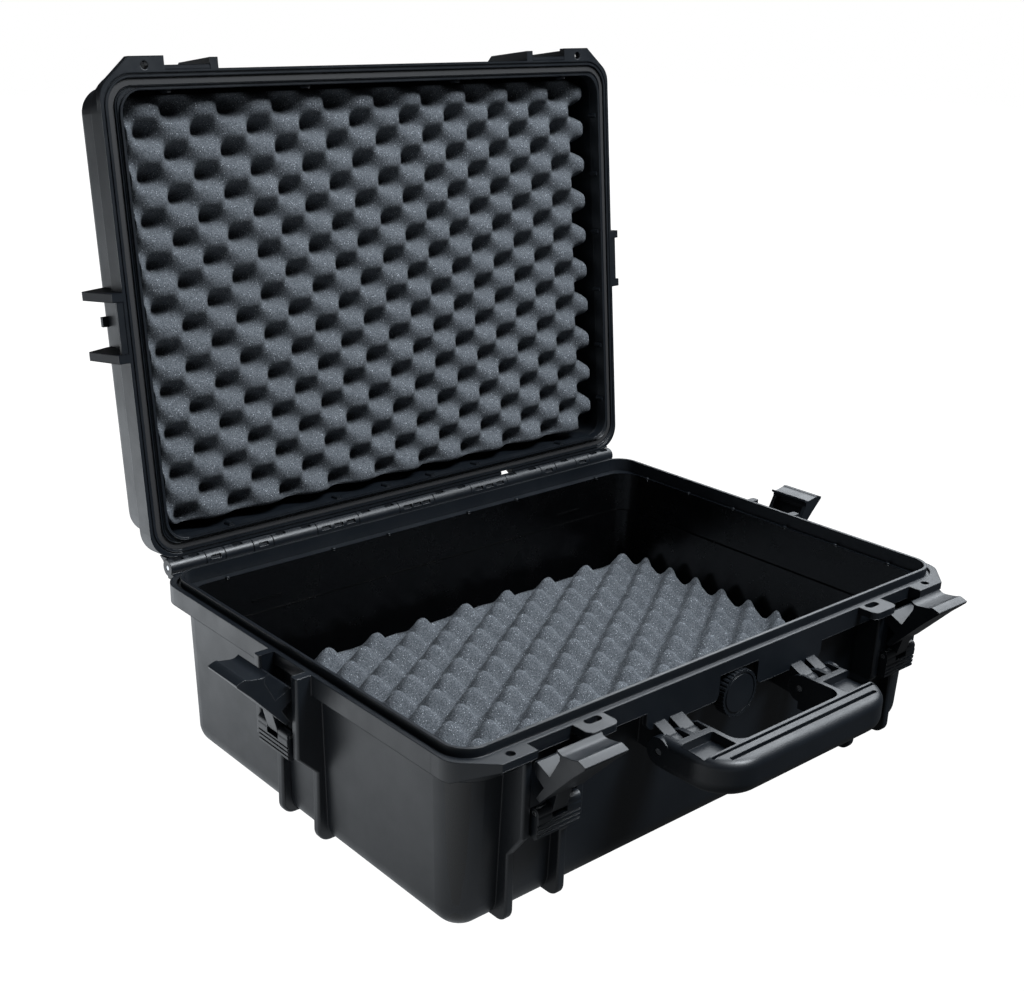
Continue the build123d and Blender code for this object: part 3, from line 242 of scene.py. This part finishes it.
def camera_ray(tree):
    """1 for what the camera sees straight, 0 for mirrored and scattered light."""
    return tree.nodes.new("ShaderNodeLightPath").outputs["Is Camera Ray"]


# ---- materials -----------------------------------------------------------
def plastic(name, roughness, grain, edge, polished_and_shaded=None):
    """Moulded polypropylene: faint cloudiness, fine spark-eroded grain and softly rounded edges.

    The optional mask maker marks the surfaces that came off a polish-finished part of the mould,
    which are less rough; their colour there is also darkened as painted shade.
    """
    material, tree, shader, where = new_material(name)
    clouds = remap(tree, noise_node(tree, where, CLOUD_SCALE, detail=3.0), CLOUD_SPREAD)
    colour = mix_colours(tree, clouds, PLASTIC_DARK, PLASTIC_LIGHT)
    smears = noise_node(tree, where, SMEAR_SCALE, detail=4.0, roughness=0.6)
    rough = remap(tree, smears, SMEAR_SPREAD, roughness)
    if polished_and_shaded is not None:
        mask = polished_and_shaded(tree, where)
        # painted shade: the tub's inside is darkened in its colour; its lower roughness is a real
        # smoother finish
        colour = mix_colours(tree, mask, colour, INSIDE_PAINTED_SHADE_COLOUR)
        rough = mix_values(tree, mask, rough, remap(tree, smears, SMEAR_SPREAD, POLISHED_ROUGHNESS))
    tree.links.new(colour, shader.inputs["Base Color"])
    tree.links.new(rough, shader.inputs["Roughness"])
    fine = noise_node(tree, where, GRAIN_SCALE, detail=1.0)
    normal = bump(tree, fine, grain, GRAIN_HEIGHT, rounded_edges(tree, edge))
    tree.links.new(normal, shader.inputs["Normal"])
    shader.inputs["IOR"].default_value = PLASTIC_IOR
    return material


def inside_tub(tree, where):
    """1 on the inner walls and the floor of the tub, which widen upwards, 0 elsewhere.

    It compares each point with the surface through the middle of the wall, rounded as the tub is.
    """
    parts = split(tree, where)
    height = parts["Z"]
    widening = math_node(tree, "MULTIPLY", height, math.tan(math.radians(TUB_TAPER)))
    past = []
    for axis, half in (("X", TUB_MIDDLE_X), ("Y", TUB_MIDDLE_Y)):
        out = math_node(tree, "SUBTRACT", math_node(tree, "ABSOLUTE", parts[axis]), widening)
        past.append(math_node(tree, "SUBTRACT", out, half - TUB_ROUNDING))
    past.append(math_node(tree, "SUBTRACT", TUB_ROUNDING + TUB_FLOOR_MIDDLE, height))
    squares = [math_node(tree, "POWER", math_node(tree, "MAXIMUM", out, 0.0), 2.0) for out in past]
    total = math_node(tree, "ADD", math_node(tree, "ADD", squares[0], squares[1]), squares[2])
    mask = math_node(tree, "LESS_THAN", math_node(tree, "SQRT", total), TUB_ROUNDING)
    return math_node(tree, "MULTIPLY", mask, math_node(tree, "LESS_THAN", height, UNDER_LEDGE))


def steel(name):
    """Drawn steel rod with fine light and dark streaks."""
    material, tree, shader, where = new_material(name)
    lines = noise_node(tree, where, STEEL_LINES)
    tree.links.new(mix_colours(tree, lines, STEEL_DARK, STEEL_LIGHT), shader.inputs["Base Color"])
    tree.links.new(remap(tree, lines, (0.2, 0.8), STEEL_ROUGHNESS), shader.inputs["Roughness"])
    shader.inputs["Metallic"].default_value = 1.0
    return material


def rubber(name):
    """Black rubber with fine specks."""
    material, tree, shader, where = new_material(name)
    specks = noise_node(tree, where, RUBBER_SPECKS)
    tree.links.new(mix_colours(tree, specks, RUBBER_DARK, RUBBER_LIGHT), shader.inputs["Base Color"])
    tree.links.new(bump(tree, specks, strength=0.2, distance=0.0002), shader.inputs["Normal"])
    shader.inputs["Roughness"].default_value = 0.7
    return material


def membrane_cloth(name):
    """White breathing cloth with fine fibres."""
    material, tree, shader, where = new_material(name)
    fibres = noise_node(tree, where, CLOTH_FIBRES, detail=3.0)
    tree.links.new(mix_colours(tree, fibres, CLOTH_DARK, CLOTH_LIGHT), shader.inputs["Base Color"])
    tree.links.new(bump(tree, fibres, strength=0.3, distance=0.0001), shader.inputs["Normal"])
    shader.inputs["Roughness"].default_value = 0.85
    return material


def open_cell_foam(name):
    """Grey polyether foam: pores, a cloudy tone and small bright specks that are painted glints of
    light on the cell walls.
    """
    material, tree, shader, where = new_material(name)
    clouds = remap(tree, noise_node(tree, where, FOAM_CLOUDS, detail=3.0), (0.3, 0.7))
    pores = noise_node(tree, where, FOAM_PORES, detail=3.0, roughness=0.7)
    base = mix_colours(tree, clouds, FOAM_DARK, FOAM_LIGHT)
    grain = mix_colours(tree, remap(tree, pores, PORE_SPREAD), FOAM_PORE, base)
    # painted glints: small bright specks mixed into the colour where light would catch the cell walls
    cells = tree.nodes.new("ShaderNodeTexVoronoi")
    cells.inputs["Scale"].default_value = FOAM_CELLS
    tree.links.new(where, cells.inputs["Vector"])
    near_middle = remap(tree, cells.outputs["Distance"], GLINT_RADIUS, (1.0, 0.0))
    cell_colour = tree.nodes.new("ShaderNodeSeparateColor")
    tree.links.new(cells.outputs["Color"], cell_colour.inputs["Color"])
    chosen = remap(tree, cell_colour.outputs["Red"], GLINT_SHARE)
    painted_glints = math_node(tree, "MULTIPLY", near_middle, chosen)
    tree.links.new(mix_colours(tree, painted_glints, grain, FOAM_PAINTED_GLINT), shader.inputs["Base Color"])
    tree.links.new(bump(tree, pores, strength=0.75, distance=PORE_HEIGHT), shader.inputs["Normal"])
    shader.inputs["Roughness"].default_value = 0.92
    shader.inputs["Specular IOR Level"].default_value = 0.2
    return material


# ---- the CAD nodes that are shown as they are ----------------------------
def paint(material, *node_names):
    """Give CAD nodes their material, keeping their meshes as they are."""
    for node_name in node_names:
        materials = nodes[node_name].data.materials
        materials.clear()
        materials.append(material)


def each_latch(*names):
    """The node names of a latch's pieces at all four places."""
    return [f"{name}_{place}" for place in PLACES for name in names]


# the tub's inside is less rough and darkened in colour as painted shade
BASE_SHELL = plastic("base_plastic", (0.34, 0.44), grain=0.18, edge=0.0012, polished_and_shaded=inside_tub)
LID_SHELL = plastic("lid_plastic", (0.34, 0.44), grain=0.18, edge=0.0012)
HANDLE = plastic("handle_plastic", (0.34, 0.44), grain=0.15, edge=0.0010)
LATCH = plastic("latch_plastic", (0.30, 0.42), grain=0.08, edge=0.0009)
FITTING = plastic("fitting_plastic", (0.36, 0.5), grain=0.15, edge=0.0004)
STEEL = steel("pin_steel")
RUBBER = rubber("seal_rubber")
MEMBRANE = membrane_cloth("membrane_cloth")
FOAM = open_cell_foam("open_cell_foam")

paint(BASE_SHELL, "base_shell")
paint(LID_SHELL, "lid_shell")
paint(HANDLE, "handle")
paint(LATCH, *each_latch("latch_lever", "latch_claw"))
paint(FITTING, "valve_body", "valve_nut", "valve_knob")
paint(STEEL, "hinge_rod", "handle_pin_left", "handle_pin_right", *each_latch("lever_pin", "claw_pin"))
paint(RUBBER, "valve_gasket", "lid_seal")
paint(MEMBRANE, "valve_membrane")


# ---- convoluted foam -----------------------------------------------------
def round_corner(x, y, low, high, radius):
    """Pull a point of a rectangle's corner square onto the rounded corner."""
    centre_x = min(max(x, low[0] + radius), high[0] - radius)
    centre_y = min(max(y, low[1] + radius), high[1] - radius)
    dx, dy = x - centre_x, y - centre_y
    if dx == 0 or dy == 0:
        return x, y
    square = max(abs(dx), abs(dy))
    length = math.hypot(dx, dy)
    return centre_x + dx * square / length, centre_y + dy * square / length


def convoluted(x, y, pitch, peak, plateau):
    """Height between -1 in a pit and 1 on a peak of a staggered egg-crate surface.

    peak is the place of one peak. With plateau above 1 the peaks are broader than the pits.
    """
    along = math.cos(2 * math.pi * (x - peak[0]) / pitch[0])
    across = math.cos(2 * math.pi * (y - peak[1]) / pitch[1])
    return 1.0 - 2.0 * ((1.0 - along * across) / 2.0) ** plateau


def smooth_noise(x, y, scale, layer):
    """A value between about -1 and 1 that changes smoothly; each layer is a different one."""
    return noise.noise(Vector((x * scale, y * scale, layer)))


def rim_of_grid(count_x, count_y):
    """The numbers of the points round a grid's edge, in order."""
    row = count_x + 1
    ring = list(range(count_x))
    ring += [j * row + count_x for j in range(count_y)]
    ring += [count_y * row + i for i in range(count_x, 0, -1)]
    ring += [j * row for j in range(count_y, 0, -1)]
    return ring


def closed_piece(name, verts, faces, smooth_faces):
    """A foam piece with outward normals, whose first faces are shaded smooth."""
    mesh = bpy.data.meshes.new(name)
    mesh.from_pydata(verts, [], faces)
    mesh.update()
    piece = bpy.data.objects.new(name, mesh)
    bpy.context.scene.collection.objects.link(piece)
    bpy.context.view_layer.objects.active = piece
    piece.select_set(True)
    bpy.ops.object.mode_set(mode="EDIT")
    bpy.ops.mesh.select_all(action="SELECT")
    bpy.ops.mesh.normals_make_consistent(inside=False)
    bpy.ops.object.mode_set(mode="OBJECT")
    piece.select_set(False)
    for polygon in mesh.polygons:
        polygon.use_smooth = polygon.index < smooth_faces
    mesh.materials.append(FOAM)
    return piece


def foam_block(name, low, high, back, peaks, depth, pitch, peak, plateau, to_world, corner):
    """A foam pad cut from convoluted sheet, flat at the back and wavy in front.

    low and high are the corners of its outline, back the level of its flat side, peaks the level of
    its peaks, depth the distance down to the pits, pitch the length of a wave along X and Y, peak the
    place of one peak and corner the radius of the outline's corners, all in metres. plateau is as in
    convoluted, and to_world carries a point to its place at rest.
    """
    count_x = int((high[0] - low[0]) / MESH_STEP)
    count_y = int((high[1] - low[1]) / MESH_STEP)
    row = count_x + 1
    towards = 1.0 if peaks > back else -1.0
    middle = peaks - towards * depth / 2

    def outline_point(number):
        j, i = divmod(number, row)
        x = low[0] + (high[0] - low[0]) * i / count_x
        y = low[1] + (high[1] - low[1]) * j / count_y
        return round_corner(x, y, low, high, corner)

    verts = []
    for number in range(row * (count_y + 1)):
        x, y = outline_point(number)
        uneven = smooth_noise(x, y, UNEVEN_SCALE, UNEVEN_LAYER) * UNEVEN_HEIGHT
        shift_x, shift_y = (smooth_noise(x, y, WOBBLE_SCALE, i) * WOBBLE_SHIFT for i in WOBBLE_LAYERS)
        wave = convoluted(x + shift_x, y + shift_y, pitch, peak, plateau)
        verts.append(to_world(Vector((x, y, middle + towards * (wave * depth / 2 + uneven)))))
    faces = []
    for j in range(count_y):
        for i in range(count_x):
            first = j * row + i
            faces.append((first, first + 1, first + row + 1, first + row))
    front_faces = len(faces)
    # the sides and the flat back
    ring = rim_of_grid(count_x, count_y)
    back_ring = range(len(verts), len(verts) + len(ring))
    verts += [to_world(Vector((*outline_point(number), back))) for number in ring]
    for k in range(len(ring)):
        following = (k + 1) % len(ring)
        faces.append((ring[k], back_ring[k], back_ring[following], ring[following]))
    faces.append(tuple(back_ring))
    return closed_piece(name, verts, faces, front_faces)


def stay(point):
    """Leave a point of the base where it is."""
    return point


def opened(point):
    """Carry a point of the closed lid to where the lid stands open."""
    dy, dz = point.y - HINGE.y, point.z - HINGE.z
    cosine, sine = math.cos(-OPEN_ANGLE), math.sin(-OPEN_ANGLE)
    return Vector((point.x, HINGE.y + dy * cosine - dz * sine, HINGE.z + dy * sine + dz * cosine))


base_pad = foam_block(
    "base_foam_pad",
    low=(-0.2335, -0.1585),
    high=(0.2350, 0.1435),
    back=0.0045,
    peaks=0.0640,
    depth=0.0250,
    pitch=(0.0505, 0.0324),
    peak=(0.2160, 0.1352),
    plateau=1.0,
    to_world=stay,
    corner=0.016,
)
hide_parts("base_foam")
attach(base_pad, "base")

lid_pad = foam_block(
    "lid_foam_pad",
    low=(-0.2385, -0.1700),
    high=(0.2385, 0.1670),
    back=0.2035,
    peaks=0.1555,
    depth=0.0260,
    pitch=(0.0509, 0.0337),
    peak=(0.00955, 0.0935),
    plateau=2.1,
    to_world=opened,
    corner=0.012,
)
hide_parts("lid_foam")
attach(lid_pad, "lid")


# ---- camera --------------------------------------------------------------
def place_camera():
    """The camera that the main picture is taken with."""
    data = bpy.data.cameras.new("camera")
    data.sensor_width = CAMERA_SENSOR
    data.lens = CAMERA_LENS
    data.shift_x, data.shift_y = CAMERA_SHIFT
    data.clip_start, data.clip_end = CAMERA_CLIP
    camera = bpy.data.objects.new("camera", data)
    camera.location = CAMERA_PLACE
    camera.rotation_euler = Euler([math.radians(angle) for angle in CAMERA_TURN], "XYZ")
    bpy.context.scene.collection.objects.link(camera)
    bpy.context.scene.camera = camera


# ---- light and floor -----------------------------------------------------
def softbox(name, place, aim, size, power):
    """A rectangular area light at a place, aimed at a point."""
    data = bpy.data.lights.new(name, "AREA")
    data.shape = "RECTANGLE"
    data.size, data.size_y = size
    data.energy = power
    data.color = COOL
    light = bpy.data.objects.new(name, data)
    light.location = place
    direction = Vector(aim) - Vector(place)
    light.rotation_euler = direction.to_track_quat("-Z", "Y").to_euler()
    bpy.context.scene.collection.objects.link(light)


def studio_world():
    """A world that is white where the camera sees it and dim for all other light."""
    world = bpy.data.worlds.new("studio")
    world.use_nodes = True
    tree = world.node_tree
    dim = tree.nodes["Background"]
    dim.inputs["Color"].default_value = (*STUDIO_COLOUR, 1.0)
    dim.inputs["Strength"].default_value = STUDIO_STRENGTH
    bright = tree.nodes.new("ShaderNodeBackground")
    bright.inputs["Color"].default_value = (*WHITE, 1.0)
    bright.inputs["Strength"].default_value = 1.0
    either = mix_shaders(tree, camera_ray(tree), dim.outputs[0], bright.outputs[0])
    tree.links.new(either, tree.nodes["World Output"].inputs["Surface"])
    bpy.context.scene.world = world


def white_paper(tree, paper, where):
    """The white that the camera sees, with a faint shadow left round the case."""
    paper.inputs["Roughness"].default_value = 0.9
    fibres = noise_node(tree, where, PAPER_FIBRES, detail=3.0)
    tree.links.new(mix_colours(tree, fibres, PAPER_DARK, PAPER_LIGHT), paper.inputs["Base Color"])
    glow = tree.nodes.new("ShaderNodeEmission")
    glow.inputs["Strength"].default_value = PAPER_GLOW
    distance = tree.nodes.new("ShaderNodeVectorMath")
    distance.operation = "LENGTH"
    tree.links.new(where, distance.inputs[0])
    share = remap(tree, distance.outputs["Value"], WHITE_DISTANCE, WHITE_SHARE)
    return mix_shaders(tree, share, paper.outputs["BSDF"], glow.outputs["Emission"])


def mirrored_sheet(tree, where):
    """The sheet that the plastic mirrors: bright to the left and behind, dim elsewhere."""
    parts = split(tree, where)
    lit = math_node(
        tree,
        "MULTIPLY",
        remap(tree, parts["X"], SHEET_RIGHT),
        remap(tree, parts["Y"], SHEET_FRONT, SHEET_FRONT_SHARE),
    )
    lit = math_node(tree, "MULTIPLY", lit, remap(tree, parts["X"], SHEET_LEFT, SHEET_LEFT_SHARE))
    sheet = tree.nodes.new("ShaderNodeEmission")
    sheet.inputs["Color"].default_value = (*COOL, 1.0)
    tree.links.new(remap(tree, lit, (0.0, 1.0), SHEET_STRENGTH), sheet.inputs["Strength"])
    return sheet.outputs["Emission"]


def studio_floor():
    """The floor under the case: white to the camera, a lit sheet to what mirrors it."""
    bpy.ops.mesh.primitive_plane_add(size=FLOOR_SIZE, location=(0, 0, 0))
    floor = bpy.context.object
    floor.name = "floor"
    material, tree, paper, where = new_material("floor_paper")
    seen = white_paper(tree, paper, where)
    either = mix_shaders(tree, camera_ray(tree), mirrored_sheet(tree, where), seen)
    tree.links.new(either, tree.nodes["Material Output"].inputs["Surface"])
    floor.data.materials.append(material)
    return floor


place_camera()
bpy.context.scene.view_settings.view_transform = "Standard"
for name, place, aim, size, power in SOFTBOXES:
    softbox(name, place, aim, size, power)
studio_world()
floor = studio_floor()
